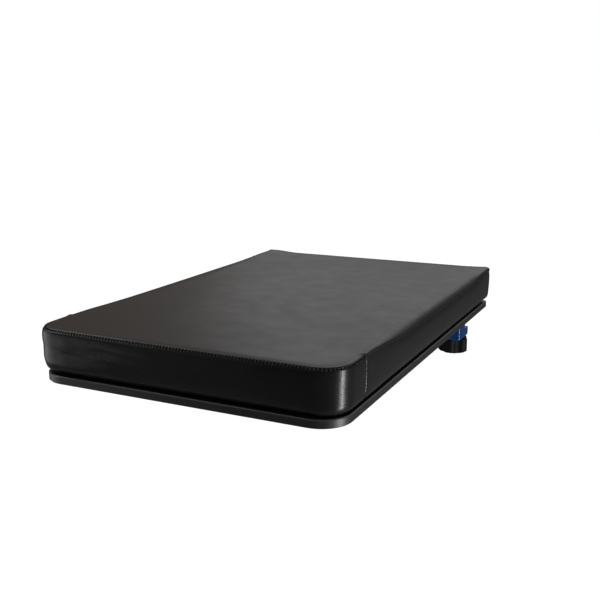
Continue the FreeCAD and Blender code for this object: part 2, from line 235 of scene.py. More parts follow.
def add_slab(points, faces, low, high):
    """Add a plain box to a list of points and faces."""
    start = len(points)
    points.extend((x, y, z) for z in (low[2], high[2])
                  for y in (low[1], high[1]) for x in (low[0], high[0]))
    for side in ((0, 2, 3, 1), (4, 5, 7, 6), (0, 1, 5, 4), (2, 6, 7, 3), (0, 4, 6, 2), (1, 3, 7, 5)):
        faces.append([start + i for i in side])


def tube_faces(rings, sides):
    """Faces between rings of points that lie one after the other."""
    return [
        [sides * k + i, sides * k + (i + 1) % sides, sides * (k + 1) + (i + 1) % sides, sides * (k + 1) + i]
        for k in range(rings - 1) for i in range(sides)
    ]


def ring_points(radius, level, sides):
    """One ring of points round the Z axis."""
    turns = [2 * math.pi * i / sides for i in range(sides)]
    return [(radius * math.cos(t), radius * math.sin(t), level) for t in turns]


def stud_shape(height):
    """Mushroom stud of the hook tape: a short stem under a flat round head."""
    outline = ((0.45, 0.0), (0.45, 0.6), (1.0, 0.72), (0.75, 1.0))
    points = []
    for share, level in outline:
        points += ring_points(share * stud_radius, level * height, stud_sides)
    faces = tube_faces(len(outline), stud_sides)
    faces.append(list(range(len(points) - stud_sides, len(points))))
    faces.append(list(range(stud_sides))[::-1])
    return np.array(points), faces


def strip_boxes(node):
    """The two strips of a node, as boxes: one each side of the middle."""
    low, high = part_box(node)
    inner = high.x - strip_width
    left = ((low.x, low.y, low.z), (-inner, high.y, high.z))
    right = ((inner, low.y, low.z), (high.x, high.y, high.z))
    return [left, right]


def make_hook_strips():
    points = []
    faces = []
    for low, high in strip_boxes("hook_strips"):
        add_slab(points, faces, low, (high[0], high[1], low[2] + backing))
        stud, stud_faces = stud_shape(high[2] - low[2] - backing - stud_room)
        across = int((high[0] - low[0] - hook_pitch) / hook_pitch)
        along = int((high[1] - low[1] - hook_pitch) / hook_pitch)
        places = []
        for j in range(along):
            for i in range(across):
                x = low[0] + hook_pitch * (i + 0.8 + 0.5 * (j % 2))
                places.append((np.eye(3), (x, low[1] + hook_pitch * (j + 1), low[2] + backing)))
        more, more_faces = join_copies(stud, stud_faces, places)
        faces.extend([[len(points) + i for i in face] for face in more_faces])
        points.extend(more)
    return points, faces


hook_material = weave_finish("hook_nylon", grey(0.022, 1.09), 1500.0, 0.0002)
hooks = add_mesh("hook_tape", *make_hook_strips(), hook_material, "table", "hook_fabric", smooth=False)
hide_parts("hook_strips")


def make_loop_strips():
    """Closed sheets whose underside is raised in soft tufts."""
    across = 26
    along = 220
    row = across + 1
    sheet = row * (along + 1)
    points = []
    faces = []
    for low, high in strip_boxes("loop_strips"):
        start = len(points)
        for layer in range(2):
            for j in range(along + 1):
                for i in range(across + 1):
                    x = low[0] + (high[0] - low[0]) * i / across
                    y = low[1] + (high[1] - low[1]) * j / along
                    tuft = tuft_height * (0.5 + 0.5 * noise.noise(Vector((x, y, 0.0)) * tuft_scale))
                    points.append((x, y, high[2] if layer else low[2] + tuft))
        for j in range(along):
            for i in range(across):
                k = start + j * row + i
                faces.append([k, k + row, k + row + 1, k + 1])
                faces.append([k + sheet, k + sheet + 1, k + sheet + row + 1, k + sheet + row])
        for i in range(across):
            for k in (start + i, start + along * row + i):
                quad = [k, k + 1, k + 1 + sheet, k + sheet]
                faces.append(quad if k < start + row else quad[::-1])
        for j in range(along):
            for k in (start + j * row, start + j * row + across):
                quad = [k + row, k, k + sheet, k + row + sheet]
                faces.append(quad if k == start + j * row else quad[::-1])
    return points, faces


loop_material = weave_finish("loop_knit", grey(0.030, 1.067), 2200.0, 0.0005)
loops = add_mesh("loop_tape", *make_loop_strips(), loop_material, "pad", "loop_fabric")
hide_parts("loop_strips")


# Arms and crossbars, stainless tube 30 by 15 mm, brushed along its length and welded square.
# Black polyethylene plugs close the arms' front ends.

stainless = (0.56, 0.57, 0.58, 1.0)


def brushed_finish(name, stretch):
    material, wire, sockets = finish(name, Metallic=1.0)
    lines = cloud(wire, place(wire, stretch), 900.0, 4.0, 0.6)
    smears = cloud(wire, place(wire), 22.0, 3.0)
    tone = blend(wire, step(wire, lines, 0.3, 0.7), shade(stainless, 0.82), stainless)
    lead(tone, sockets["Base Color"])
    rough = step(wire, smears, 0.3, 0.7, 0.25, 0.38) + step(wire, lines, 0.3, 0.7, -0.03, 0.04)
    lead(rough, sockets["Roughness"])
    lead(bump(wire, lines, 0.00003, 0.5), sockets["Normal"])
    return material


def pebble_grain(wire, spot, scale, smoothness):
    """Rounded cells of a moulded or embossed surface."""
    return wire.node(
        "TexVoronoi", {"feature": "SMOOTH_F1"},
        {"Vector": spot, "Scale": scale, "Smoothness": smoothness},
    )


def moulded_finish(name, colour, rough, shine=0.4):
    material, wire, sockets = finish(name, Specular_IOR_Level=shine)
    spot = place(wire)
    pebble = pebble_grain(wire, spot, 1100.0, 0.6)
    smears = cloud(wire, spot, 60.0, 4.0)
    lead(blend(wire, step(wire, smears, 0.45, 0.75), colour, shade(colour, 1.5)), sockets["Base Color"])
    lead(step(wire, smears, 0.3, 0.7, rough - 0.05, rough + 0.08), sockets["Roughness"])
    lead(bump(wire, pebble, 0.00006, 0.8), sockets["Normal"])
    return material


arm_steel = brushed_finish("steel_brushed_along", (1.0, 0.02, 1.0))
bar_steel = brushed_finish("steel_brushed_across", (0.02, 1.0, 1.0))
for side in ("left", "right"):
    dress("arm_" + side, arm_steel)
for end in ("front", "rear"):
    dress(end + "_crossbar", bar_steel)
dress("arm_end_plugs", moulded_finish("plug_polyethylene", grey(0.018, 1.056), 0.42))


# Fasteners: button-head screws and washers that hold the arms to brass inserts in the board,
# and bolts and nuts through arms and clamp blocks. Zinc-plated steel, turned faces.

def turned_finish(name, colour, rough=0.26):
    material, wire, sockets = finish(name, Metallic=1.0)
    spot = place(wire)
    rings = wire.node(
        "TexWave", {"wave_type": "RINGS", "rings_direction": "Z"},
        {"Vector": spot, "Scale": 400.0, "Distortion": 1.5, "Detail": 2.0}, out="Fac",
    )
    haze = cloud(wire, spot, 160.0, 4.0, 0.65)
    lead(blend(wire, step(wire, haze, 0.35, 0.7), shade(colour, 0.7), colour), sockets["Base Color"])
    lead(step(wire, haze, 0.3, 0.7, rough, rough + 0.16), sockets["Roughness"])
    lead(bump(wire, rings * 0.3 + haze, 0.00003, 0.5), sockets["Normal"])
    return material


zinc = turned_finish("steel_zinc_plated", (0.52, 0.53, 0.54, 1.0))
brass = turned_finish("brass_turned", (0.62, 0.45, 0.20, 1.0))
for node in ("board_screws", "board_washers", "block_bolts", "block_nuts"):
    dress(node, zinc)
dress("board_inserts", brass)


# Clamp blocks, sawn and milled from aluminium bar and anodised blue. The milling cutter leaves
# fine lines along X, and the dye has taken a little lighter in places.

deep_blue = (0.010, 0.060, 0.235, 1.0)
light_blue = (0.022, 0.098, 0.330, 1.0)


def anodised_finish():
    material, wire, sockets = finish("aluminium_anodised_blue", Metallic=0.75, Specular_IOR_Level=0.5)
    lines = cloud(wire, place(wire, (0.05, 1.0, 1.0)), 800.0, 3.0)
    haze = cloud(wire, place(wire), 70.0, 4.0, 0.6)
    lead(blend(wire, step(wire, haze, 0.35, 0.7), deep_blue, light_blue), sockets["Base Color"])
    lead(step(wire, lines, 0.3, 0.7, 0.30, 0.42), sockets["Roughness"])
    lead(bump(wire, lines, 0.00003, 0.5), sockets["Normal"])
    return material


blue = anodised_finish()
for side in ("left", "right"):
    dress("clamp_block_" + side, blue)


# Clamping screws: bronze bush in the jaw, steel spindle with a trapezoidal thread of 3 mm pitch,
# and a steel pressure foot that two cross pins hold on the spindle's grooved tip.

bronze = turned_finish("bronze_bearing", (0.46, 0.27, 0.13, 1.0), 0.30)
foot_steel = turned_finish("steel_foot", grey(0.44, 1.023), 0.32)
spindle_steel = turned_finish("steel_spindle", grey(0.50, 1.02), 0.24)
thread_pitch = 0.003
thread_depth = 0.0010
thread_rings = 110
thread_runout = 0.001
thread_gap = 0.0005
land_share = 0.16
spindle_sides = 40
end_radius = 0.0050
end_chamfer = 0.0008
tip_radius = 0.0040
tip_length = 0.0032
tip_chamfer = 0.0004
groove_depth = 0.001
groove_half = 0.00102
step_rise = 0.00002
shoulder_rise = 0.00001


def thread_radius_at(level, turn_share, radius, start, end):
    """Radius of the threaded part, whose flanks fade out at both ends."""
    phase = (level / thread_pitch - turn_share) % 1.0
    flank = min(max((abs(phase - 0.5) - land_share) / land_share, 0.0), 1.0)
    fade = min((level - start) / thread_runout, (end - level) / thread_runout, 1.0)
    return radius - thread_depth * (1.0 - (1.0 - flank) * max(fade, 0.0))


def make_spindle(node):
    """Turned spindle with its thread: a grid of rings whose radius follows the helix."""
    low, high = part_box(node)
    middle = (low.x + high.x) / 2
    radius = (high.x - low.x) / 2
    root = radius - thread_depth
    knob_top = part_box("star_knob_left")[1].z
    thread_low = knob_top + thread_gap
    tip = high.z - tip_length
    groove = high.z - tip_length / 2
    groove_low = groove - groove_half
    groove_high = groove + groove_half
    groove_radius = tip_radius - groove_depth
    levels = [(low.z, 0.0), (low.z, end_radius - end_chamfer), (low.z + end_chamfer, end_radius)]
    levels += [(knob_top - thread_gap, end_radius), (knob_top, end_radius)]
    levels += [(knob_top + shoulder_rise, root)]
    levels += [(z, None) for z in np.linspace(thread_low, tip - thread_runout, thread_rings + 1)]
    levels += [(tip, root), (tip, tip_radius)]
    levels += [(groove_low - step_rise, tip_radius), (groove_low, groove_radius)]
    levels += [(groove_high, groove_radius), (groove_high + step_rise, tip_radius)]
    levels += [(high.z - tip_chamfer, tip_radius), (high.z, tip_radius - tip_chamfer), (high.z, 0.0)]
    points = []
    for level, size in levels:
        for i in range(spindle_sides):
            turn = 2 * math.pi * i / spindle_sides
            r = size
            if size is None:
                r = thread_radius_at(level, i / spindle_sides, radius, thread_low, tip - thread_runout)
            points.append((middle + r * math.cos(turn), r * math.sin(turn), level))
    return points, tube_faces(len(levels), spindle_sides)


for side in ("left", "right"):
    dress("pressure_foot_" + side, foot_steel)
    dress("foot_pins_" + side, zinc)
    spindle = add_mesh("threaded_spindle_" + side, *make_spindle("spindle_" + side), spindle_steel,
                       "knob_" + side, "spindle_steel")
    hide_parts("spindle_" + side)
dress("spindle_bushes", bronze)


# Star knobs, five lobes moulded in black phenolic with a fine matt grain. A steel bush is moulded
# in, a nut holds the knob on its spindle, and a snap cap closes the bore below.

knob_plastic = moulded_finish("knob_phenolic", grey(0.0030, 1.133), 0.55, 0.10)
cap_plastic = moulded_finish("cap_plastic", grey(0.020, 1.05), 0.34)
for side in ("left", "right"):
    dress("star_knob_" + side, knob_plastic)
    dress("knob_cap_" + side, cap_plastic)
    dress("knob_bush_" + side, zinc)
    dress("knob_nut_" + side, zinc)


# Pad form: a foam block that the cover squeezes. Its shape is a closed grid of columns round the
# plan outline and rings from the underside to the top, so that every seam lies on a grid line.

cover_nodes = ["cover_top_panel", "cover_front_band", "cover_side_band", "cover_bottom_panel"]
pad_low = np.min([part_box(n)[0] for n in cover_nodes], axis=0)
pad_high = np.max([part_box(n)[1] for n in cover_nodes], axis=0)
zip_low, zip_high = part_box("zip_tape")

# Plan outline, with room for the blown cover inside the pad's own box.
swell_room = 0.0016
top_rise = 0.0001
half_width = pad_high[0] - swell_room
front_edge = pad_low[1] + swell_room
rear_edge = pad_high[1]
under = pad_low[2]
top = pad_high[2] + top_rise
front_round = 0.034
rear_round = 0.008
least_round = 0.002
taper = 0.002

# Seams: the upright ones behind the front corners, the long ones low down and under the top edge.
band_return = 0.066
band_seam = front_edge + band_return
bottom_seam = 0.0015
front_drop = 0.0008
front_slant = 0.0005
side_drop = 0.0100
rear_drop = 0.0050
least_drop = 0.0003
corner_lift = 0.0008

# Rolled edges: tight at the front, wider along the sides, most of all on the right.
bottom_roll = 0.0085
front_roll = 0.0046
side_roll_more = 0.0084
rear_roll_more = 0.0020
corner_roll_more = 0.0030
roll_over_drop = 0.002
left_share = 0.40
along_start = 0.004
along_end = 0.006
along_rise = 0.13
along_fall = 0.12
rear_reach = 0.03
corner_reach = 0.034

# Grid: the outline's eight stretches, and the steps along each and up the section.
(front_side, front_right_arc, right_side, rear_right_arc,
 rear_side, rear_left_arc, left_side, front_left_arc) = range(8)
front_steps = 80
front_arc_steps = 16
rear_arc_steps = 8
margin_steps = 6
window_steps = 76
side_pitch = 0.0052
seam_offsets = (-0.005, -0.002, -0.0007, 0.0, 0.0007, 0.002, 0.005)
roll_steps = 40
sheet_lead = 0.004


def smooth_step(value):
    value = np.clip(value, 0.0, 1.0)
    return value * value * (3 - 2 * value)


def seam_spread(start, end, seam, coarse):
    """Places from start to end, closer round a seam and with one exactly on it."""
    near = [seam + d for d in seam_offsets]
    before = np.linspace(start, near[0], max(2, round((near[0] - start) / coarse)), endpoint=False)
    after = np.linspace(near[-1], end, max(2, round((end - near[-1]) / coarse)) + 1)
    return list(before) + near[:-1] + list(after)


def side_places():
    """Shares of a side, from its front arc to its rear arc."""
    start = front_edge + front_round
    end = rear_edge - rear_round
    return [(y - start) / (end - start) for y in seam_spread(start, end, band_seam, side_pitch)]


def rear_places():
    """Shares of the rear, with grid lines on both ends of the zip window."""
    reach = half_width - rear_round
    window = zip_high.x
    margin = np.linspace(-reach, -window, margin_steps, endpoint=False)
    middle = np.linspace(-window, window, window_steps, endpoint=False)
    places = list(margin) + list(middle) + [window] + list(-margin[::-1])
    return [(x + reach) / (2 * reach) for x in places]


def make_columns():
    """Columns round the outline, each as (stretch, share of it), and how many lie along X and Y."""
    front_arc = np.linspace(0, 1, front_arc_steps, endpoint=False)
    rear_arc = np.linspace(0, 1, rear_arc_steps, endpoint=False)
    sides = side_places()[:-1]
    whole = [(front_side, s) for s in np.linspace(0, 1, front_steps, endpoint=False)]
    whole += [(front_right_arc, s) for s in front_arc]
    whole += [(right_side, s) for s in sides]
    whole += [(rear_right_arc, s) for s in rear_arc]
    whole += [(rear_side, s) for s in rear_places()[:-1]]
    whole += [(rear_left_arc, s) for s in rear_arc]
    whole += [(left_side, 0.0)] + [(left_side, 1 - s) for s in sides[:0:-1]]
    whole += [(front_left_arc, s) for s in front_arc]
    shift = front_arc_steps // 2
    along = shift + len(sides) + rear_arc_steps // 2
    return whole[-shift:] + whole[:-shift], front_steps + front_arc_steps, along


columns, count_x, count_y = make_columns()


def plan_place(stretch, share, inset, width, front_y, rear_y):
    """A point of the plan outline, moved in by inset; corner radii shrink to a least value."""
    front_r = max(front_round - inset, least_round)
    rear_r = max(rear_round - inset, least_round)
    x = width - inset
    y0 = front_y + inset
    y1 = rear_y - inset
    if stretch == front_side:
        return (-(x - front_r) + 2 * (x - front_r) * share, y0)
    if stretch == rear_side:
        return ((x - rear_r) - 2 * (x - rear_r) * share, y1)
    start, end = y0 + front_r, y1 - rear_r
    if stretch == right_side:
        return (x, start + (end - start) * share)
    if stretch == left_side:
        return (-x, end - (end - start) * share)
    at_front = stretch in (front_right_arc, front_left_arc)
    at_right = stretch in (front_right_arc, rear_right_arc)
    radius = front_r if at_front else rear_r
    centre_x = (x - radius) * (1 if at_right else -1)
    centre_y = y0 + radius if at_front else y1 - radius
    first_turn = {front_right_arc: -90, rear_right_arc: 0, rear_left_arc: 90, front_left_arc: 180}
    turn = math.radians(first_turn[stretch] + 90 * share)
    return (centre_x + radius * math.cos(turn), centre_y + radius * math.sin(turn))


def edge_form(column):
    """Width and height of the rolled top edge, and how far its seam lies below the top."""
    x, y = plan_place(*columns[column], 0.0, half_width, front_edge, rear_edge)
    rise = smooth_step((y - band_seam - along_start) / along_rise)
    along = rise * smooth_step((rear_edge - along_end - y) / along_fall)
    along *= 1.0 if x > 0 else left_share
    behind = smooth_step((y - (rear_edge - rear_reach)) / rear_reach)
    roll = front_roll + side_roll_more * along + rear_roll_more * behind
    ahead = front_drop + front_slant * x / half_width
    drop = ahead + (side_drop - ahead) * along + (rear_drop - ahead) * behind
    corner = math.exp(-((x + half_width) ** 2 + (y - front_edge) ** 2) / corner_reach ** 2)
    drop = max(drop - corner_lift * corner, least_drop)
    roll += corner_roll_more * corner
    return roll, max(roll, drop + roll_over_drop), drop


def profile(column):
    """Section from the underside to the top as fine (inset, level) points, with its two seams."""
    width, height, drop = edge_form(column)
    turns = np.linspace(0, math.pi / 2, roll_steps)
    low = [(bottom_roll * (1 - math.sin(t)), under + bottom_roll * (1 - math.cos(t))) for t in turns]
    high = [(width * (1 - math.cos(t)), top - height * (1 - math.sin(t))) for t in turns]
    spots = np.array([(bottom_roll + sheet_lead, under)] + low + high + [(width + sheet_lead, top)])
    lengths = np.concatenate([[0], np.cumsum(np.hypot(*np.diff(spots, axis=0).T))])
    seam_low = np.interp(under + bottom_seam, spots[1:, 1], lengths[1:])
    seam_high = np.interp(top - drop, spots[:-1, 1], lengths[:-1])
    return spots, lengths, seam_low, seam_high


window_levels = (zip_low.z, zip_high.z)
below_window = [under + 0.0052, under + bottom_roll]
wall_levels = below_window + list(np.linspace(*window_levels, 7))
free_rings = 2
low_offsets = (-0.0035, -0.002, -0.0007, 0.0, 0.0007, 0.002)
high_offsets = (-0.005, -0.0035, -0.0024, -0.0014, -0.0006, 0.0, 0.0007, 0.002)
top_edge_start = 0.004
top_edge_rings = 7
low_seam_ring = 1 + low_offsets.index(0.0)
first_wall_ring = 1 + len(low_offsets)
top_seam_ring = first_wall_ring + len(wall_levels) + free_rings + high_offsets.index(0.0)


def ring_lengths(spots, lengths, seam_low, seam_high):
    """Where the rings lie along a section: dense round both seams, level across the wall."""
    walls = [np.interp(z, spots[:-1, 1], lengths[:-1]) for z in wall_levels]
    free = np.linspace(walls[-1], seam_high + high_offsets[0], free_rings + 2)[1:-1]
    return np.array(
        [0.0] + [seam_low + d for d in low_offsets] + walls + list(free)
        + [seam_high + d for d in high_offsets]
        + list(np.linspace(seam_high + top_edge_start, lengths[-1], top_edge_rings))
    )


def wall_grid():
    """Points of all rings and columns, and each point's distance from the two long seams."""
    rows = []
    for c in range(len(columns)):
        spots, lengths, seam_low, seam_high = profile(c)
        rings = ring_lengths(spots, lengths, seam_low, seam_high)
        insets = np.interp(rings, lengths, spots[:, 0])
        levels = np.interp(rings, lengths, spots[:, 1])
        row = []
        for inset, level in zip(insets, levels):
            squeeze = taper * (top - level) / (top - under)
            x, y = plan_place(*columns[c], inset, half_width - squeeze, front_edge + squeeze, rear_edge)
            row.append((x, y, level))
        rows.append((row, rings - seam_low, rings - seam_high))
    grid = np.array([r[0] for r in rows]).transpose(1, 0, 2)
    return grid, np.array([r[1] for r in rows]).T, np.array([r[2] for r in rows]).T


def fill_grid(rim):
    """Fill a closed rim of columns with a grid that runs smoothly between its four sides."""
    nx, ny = count_x, count_y
    low = rim[:nx + 1]
    east = rim[nx:nx + ny + 1]
    high = rim[nx + ny:2 * nx + ny + 1][::-1]
    west = np.concatenate([rim[2 * nx + ny:], rim[:1]])[::-1]
    u = np.linspace(0, 1, nx + 1)[:, None, None]
    v = np.linspace(0, 1, ny + 1)[None, :, None]
    sheet = (1 - v) * low[:, None] + v * high[:, None] + (1 - u) * west[None] + u * east[None]
    low_corners = (1 - u) * (1 - v) * low[0] + u * (1 - v) * low[-1]
    high_corners = (1 - u) * v * high[0] + u * v * high[-1]
    return sheet - (low_corners + high_corners)


def grid_index(i, j, start, ring_start):
    """Index of a sheet's point: its rim is the ring, the rest follows in rows."""
    nx, ny = count_x, count_y
    if j == 0:
        return ring_start + i
    if i == nx:
        return ring_start + nx + j
    if j == ny:
        return ring_start + 2 * nx + ny - i
    if i == 0:
        return ring_start + 2 * nx + 2 * ny - j
    return start + (j - 1) * (nx - 1) + (i - 1)


walls, from_low_seam, from_top_seam = wall_grid()
ring_count, column_count = walls.shape[:2]
under_sheet = fill_grid(walls[0])
top_sheet = fill_grid(walls[-1])
sheet_points = (count_x - 1) * (count_y - 1)
under_start = ring_count * column_count
top_start = under_start + sheet_points
last_ring = (ring_count - 1) * column_count
form_points = np.concatenate([
    walls.reshape(-1, 3),
    under_sheet[1:-1, 1:-1].transpose(1, 0, 2).reshape(-1, 3),
    top_sheet[1:-1, 1:-1].transpose(1, 0, 2).reshape(-1, 3),
])


def wall_quad(ring, column):
    a = ring * column_count + column
    b = ring * column_count + (column + 1) % column_count
    return [a, b, b + column_count, a + column_count]


def sheet_quads(start, ring_start, upwards):
    quads = []
    for j in range(count_y):
        for i in range(count_x):
            corners = ((i, j), (i + 1, j), (i + 1, j + 1), (i, j + 1))
            quad = [grid_index(*corner, start, ring_start) for corner in corners]
            quads.append(quad if upwards else quad[::-1])
    return quads


wall_faces = {(r, c): wall_quad(r, c) for r in range(ring_count - 1) for c in range(column_count)}
under_faces = sheet_quads(under_start, 0, False)
top_faces = sheet_quads(top_start, last_ring, True)
form_faces = list(wall_faces.values()) + under_faces + top_faces


def bare_mesh(name, points, faces):
    mesh = bpy.data.meshes.new(name)
    mesh.from_pydata([tuple(p) for p in points], [], faces)
    mesh.update()
    piece = bpy.data.objects.new(name, mesh)
    bpy.context.scene.collection.objects.link(piece)
    return piece


def read_points(mesh):
    spots = np.zeros(len(mesh.vertices) * 3)
    mesh.vertices.foreach_get("co", spots)
    return spots.reshape(-1, 3)


def read_normals(mesh):
    ways = np.zeros(len(mesh.vertices) * 3)
    mesh.vertex_normals.foreach_get("vector", ways)
    return ways.reshape(-1, 3)


def distance_to_band_seam(column):
    """Signed way along the side from the upright seam, or a long way off elsewhere."""
    stretch, share = columns[column]
    start = front_edge + front_round
    length = rear_edge - rear_round - start
    if stretch not in (right_side, left_side):
        return 1.0
    along = share if stretch == right_side else 1 - share
    return start + along * length - band_seam


from_band_seam = np.array([distance_to_band_seam(c) for c in range(column_count)])
vertical_seams = [c for c in range(column_count) if abs(from_band_seam[c]) < 1e-6]

# Cloth is pinned at its seams, softly beside them, and moves no further than crown and bulge.
top_pin_width = 0.0012
top_pin = 0.97
upright_pin_width = 0.0015
upright_pin = 0.7
least_pin = 0.02
blow_pressure = 4.0
blow_frames = 20
smoothing_passes = 14
crown = 0.0006
dome = 0.0012
dome_reach = 0.13
bulge = 0.0016


def puff(points):
    """Blow the form up against its seams with cloth, and return how far each point moved."""
    held = bare_mesh("pad_blown", points, form_faces)
    pins = held.vertex_groups.new(name="held")
    weight = np.zeros(len(points))
    ring_weight = np.exp(-(from_top_seam / top_pin_width) ** 2) * top_pin
    upright = np.exp(-(from_band_seam / upright_pin_width) ** 2)[None] * upright_pin
    ring_weight = np.maximum(ring_weight, upright * (from_top_seam <= 0))
    ring_weight[:low_seam_ring + 1] = 1.0
    weight[:under_start] = ring_weight.reshape(-1)
    weight[under_start:top_start] = 1.0
    for i, w in enumerate(weight):
        if w > least_pin:
            pins.add([i], float(w), "REPLACE")
    cloth = held.modifiers.new("Cloth", "CLOTH")
    cloth.settings.vertex_group_mass = "held"
    cloth.settings.use_pressure = True
    cloth.settings.uniform_pressure_force = blow_pressure
    cloth.settings.effector_weights.gravity = 0.0
    cloth.settings.quality = 4
    for number in range(1, blow_frames + 1):
        bpy.context.scene.frame_set(number)
    blown = bpy.data.meshes.new_from_object(held.evaluated_get(bpy.context.evaluated_depsgraph_get()))
    moved = read_points(blown) - points
    bpy.data.objects.remove(held)
    bpy.context.scene.frame_set(1)
    return moved


moved = np.zeros_like(form_points)
moved = puff(form_points)
pairs = np.array([(face[i - 1], face[i]) for face in form_faces for i in range(len(face))])
counts = np.bincount(pairs[:, 0], minlength=len(moved))
for _ in range(smoothing_passes):
    for k in range(3):
        gathered = np.bincount(pairs[:, 0], weights=moved[pairs[:, 1], k], minlength=len(moved))
        moved[:, k] = 0.5 * moved[:, k] + 0.5 * gathered / counts
reach = np.linalg.norm(moved, axis=1, keepdims=True)
cap = np.full((len(form_points), 1), bulge)
cap[top_start:] = crown
cap[last_ring:under_start] = crown
moved = moved * cap * np.tanh(reach / cap) / np.maximum(reach, 1e-9)
edge_x = half_width - np.abs(form_points[:, 0])
edge_y = np.minimum(form_points[:, 1] - front_edge, rear_edge - form_points[:, 1])
edge = np.minimum(edge_x, edge_y)
moved[top_start:, 2] += dome * smooth_step(edge[top_start:] / dome_reach)
form_points = form_points + moved


# Foam core: one block of light grey upholstery foam, a little smaller than the cover's inside.
# Open cells show as a fine pitted grain.

def foam_finish():
    material, wire, sockets = finish("foam_grey", Specular_IOR_Level=0.2)
    spot = place(wire)
    cells = wire.node("TexVoronoi", {"feature": "F1"}, {"Vector": spot, "Scale": 900.0})
    tone = blend(wire, step(wire, cells, 0.1, 0.7), grey(0.30, 1.033), grey(0.56, 1.018))
    lead(tone, sockets["Base Color"])
    lead(step(wire, cells, 0.1, 0.7, 0.85, 1.0), sockets["Roughness"])
    lead(bump(wire, cells, 0.0006, 0.8), sockets["Normal"])
    return material


foam_inset = 0.0034
form = bare_mesh("pad_form", form_points, form_faces)
form_normals = read_normals(form.data)
foam_points = form_points - form_normals * foam_inset
foam = add_mesh("foam_block", foam_points, form_faces, foam_finish(), "pad", "foam")
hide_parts("foam_core")


# Cover: black coated vinyl, four panels sewn together over the foam. The front band wraps both
# front corners, a second band goes round the sides and the rear, where the zip sits.

def vinyl_finish():
    material, wire, sockets = finish("vinyl_black", Specular_IOR_Level=0.24)
    spot = place(wire)
    grain = pebble_grain(wire, spot, 1150.0, 0.5)
    pores = cloud(wire, spot, 2600.0, 2.0)
    creases = cloud(wire, spot, 420.0, 3.0, 0.6)
    drift = cloud(wire, spot, 6.0, 2.0)
    handled = cloud(wire, spot, 38.0, 4.0, 0.6)
    tone = blend(wire, step(wire, drift, 0.35, 0.65), grey(0.0064, 1.094), grey(0.0080, 1.075))
    lead(tone, sockets["Base Color"])
    varied = step(wire, handled, 0.3, 0.7, 0.35, 0.41) + step(wire, drift, 0.35, 0.65, -0.01, 0.015)
    taut = step(wire, upright_share(wire), 0.2, 0.8, 0.10, 0.0)
    lead(varied - taut, sockets["Roughness"])
    height = grain + pores * 0.3 + creases * 0.2
    lead(bump(wire, height, 0.00005, 0.55), sockets["Normal"])
    return material


vinyl = vinyl_finish()


def seam_groove(distance, depth, width):
    return -depth * np.exp(-(distance / width) ** 2)


def layered(spot, scale, octaves=3):
    """Sum of noise octaves at a place, between about -1 and 1."""
    return noise.fractal(Vector(spot) * scale, 1.0, 2.0, octaves, noise_basis="PERLIN_ORIGINAL")


# Grooves that the thread pulls in, and the nubs where four layers meet.
groove_width = 0.0010
tuck_width = 0.0060
top_groove = 0.0013
low_groove = 0.0011
upright_groove = 0.0012
nub_height = 0.0012
nub_width = 0.0030
nub_level = 0.002
nub_rise = 0.005

# Slack of the bands and of the top: folds, puckers, slow waves, and ears at the rear corners.
fold_height = 0.0015
fold_scale = 11.0
fold_run = 0.02
fold_margin = 0.010
fold_middle = -0.04
fold_turn = 0.09
fold_mean = 0.65
fold_swing = 0.50
side_fold_share = 0.35
pucker_height = 0.00009
pucker_scale = 85.0
pucker_width = 0.006
wave_height = 0.00018
wave_scale = 9.0
ears = ((0.022 - half_width, 0.0022), (half_width - 0.008, 0.0010))
ear_width = 0.012
ear_stretch = 0.55
ear_inset = 0.006


def seam_relief():
    """Grooves of the seams, and the nubs over the tops of the upright ones."""
    tuck = np.where(from_top_seam < 0, tuck_width, groove_width)
    relief = seam_groove(from_top_seam, top_groove, tuck)
    relief += seam_groove(from_low_seam, low_groove, groove_width)
    on_band = (from_top_seam < 0) * (from_low_seam > 0)
    relief += seam_groove(from_band_seam, upright_groove, groove_width)[None] * on_band
    across = np.exp(-(from_band_seam / nub_width) ** 2)[None]
    return relief + nub_height * across * np.exp(-((from_top_seam - nub_level) / nub_rise) ** 2)


def wall_fold(x, y, z, above, over):
    """Soft folds of the bands, deepest at the front left, and small puckers at the top seam."""
    ahead = float(smooth_step((band_seam - y) / fold_run))
    side = fold_mean - fold_swing * math.tanh((x - fold_middle) / fold_turn)
    fold = layered((x * 0.8, y * 0.8, z * 6.0 + x * 0.5), fold_scale) * side
    body = float(smooth_step(-above / fold_margin) * smooth_step(over / fold_margin))
    depth = fold_height * body * (side_fold_share + (1 - side_fold_share) * ahead)
    pucker = layered((x, y, 0.0), pucker_scale, 2) * math.exp(-abs(above) / pucker_width)
    return depth * fold + pucker_height * pucker


def cover_relief():
    """Height of seams, puckers and soft folds over the blown form, along its normals."""
    relief = np.zeros(len(form_points))
    ring_relief = seam_relief()
    for r in range(ring_count):
        for c in range(column_count):
            ring_relief[r][c] += wall_fold(*walls[r][c], from_top_seam[r][c], from_low_seam[r][c])
    relief[:under_start] = ring_relief.reshape(-1)
    for k in range(top_start, len(form_points)):
        x, y = form_points[k][:2]
        relief[k] = wave_height * layered((x, y, 0.0), wave_scale, 2)
    for x, height in ears:
        along = (form_points[:, 0] - x) * ear_stretch
        far = np.hypot(along, form_points[:, 1] - rear_edge + ear_inset)
        relief += height * np.exp(-(far / ear_width) ** 2) * (form_points[:, 2] > top - ear_inset)
    return relief


cover_points = form_points + form_normals * cover_relief()[:, None]


